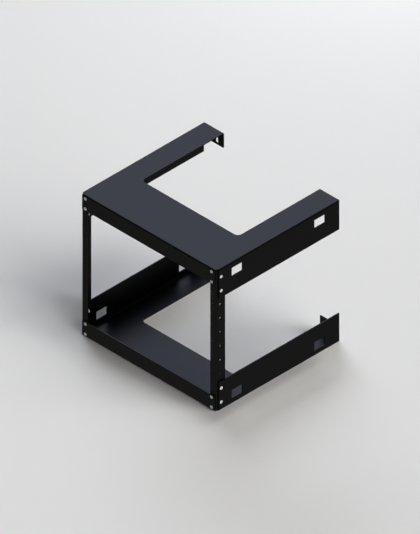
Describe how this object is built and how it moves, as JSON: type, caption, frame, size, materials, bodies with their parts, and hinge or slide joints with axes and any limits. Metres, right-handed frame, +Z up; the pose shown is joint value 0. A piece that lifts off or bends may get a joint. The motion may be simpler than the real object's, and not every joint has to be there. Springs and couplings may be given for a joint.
{
  "type": "open-frame wall mount rack, 19 inch, 8 rack units clear",
  "caption": "Black open-frame wall mount rack for 19 inch equipment: two folded U-shaped steel brackets joined by two drilled angle rails.",
  "frame": {"origin": "on the floor under the centre of the whole frame, screw heads included", "axes": "+X to the right seen from the front, -Y towards the front, +Y into the wall, +Z up"},
  "size_m": [0.5052, 0.459, 0.4509],
  "materials": {
    "bracket_coat": "black satin powder coat",
    "rail_coat": "black satin powder coat",
    "zinc_plate": "bright zinc plating"
  },
  "bodies": {
    "root": {"top_bracket": "bracket_coat", "bottom_bracket": "bracket_coat", "left_rail": "rail_coat", "right_rail": "rail_coat", "left_front_screw_1": "zinc_plate", "left_front_screw_2": "zinc_plate", "left_front_screw_3": "zinc_plate", "left_front_screw_4": "zinc_plate", "left_side_screw_1": "zinc_plate", "left_side_screw_2": "zinc_plate", "left_side_screw_3": "zinc_plate", "left_side_screw_4": "zinc_plate", "left_side_nut_1": "zinc_plate", "left_side_nut_2": "zinc_plate", "left_side_nut_3": "zinc_plate", "left_side_nut_4": "zinc_plate", "right_front_screw_1": "zinc_plate", "right_front_screw_2": "zinc_plate", "right_front_screw_3": "zinc_plate", "right_front_screw_4": "zinc_plate", "right_side_screw_1": "zinc_plate", "right_side_screw_2": "zinc_plate", "right_side_screw_3": "zinc_plate", "right_side_screw_4": "zinc_plate", "right_side_nut_1": "zinc_plate", "right_side_nut_2": "zinc_plate", "right_side_nut_3": "zinc_plate", "right_side_nut_4": "zinc_plate"}
  },
  "joints": []
}
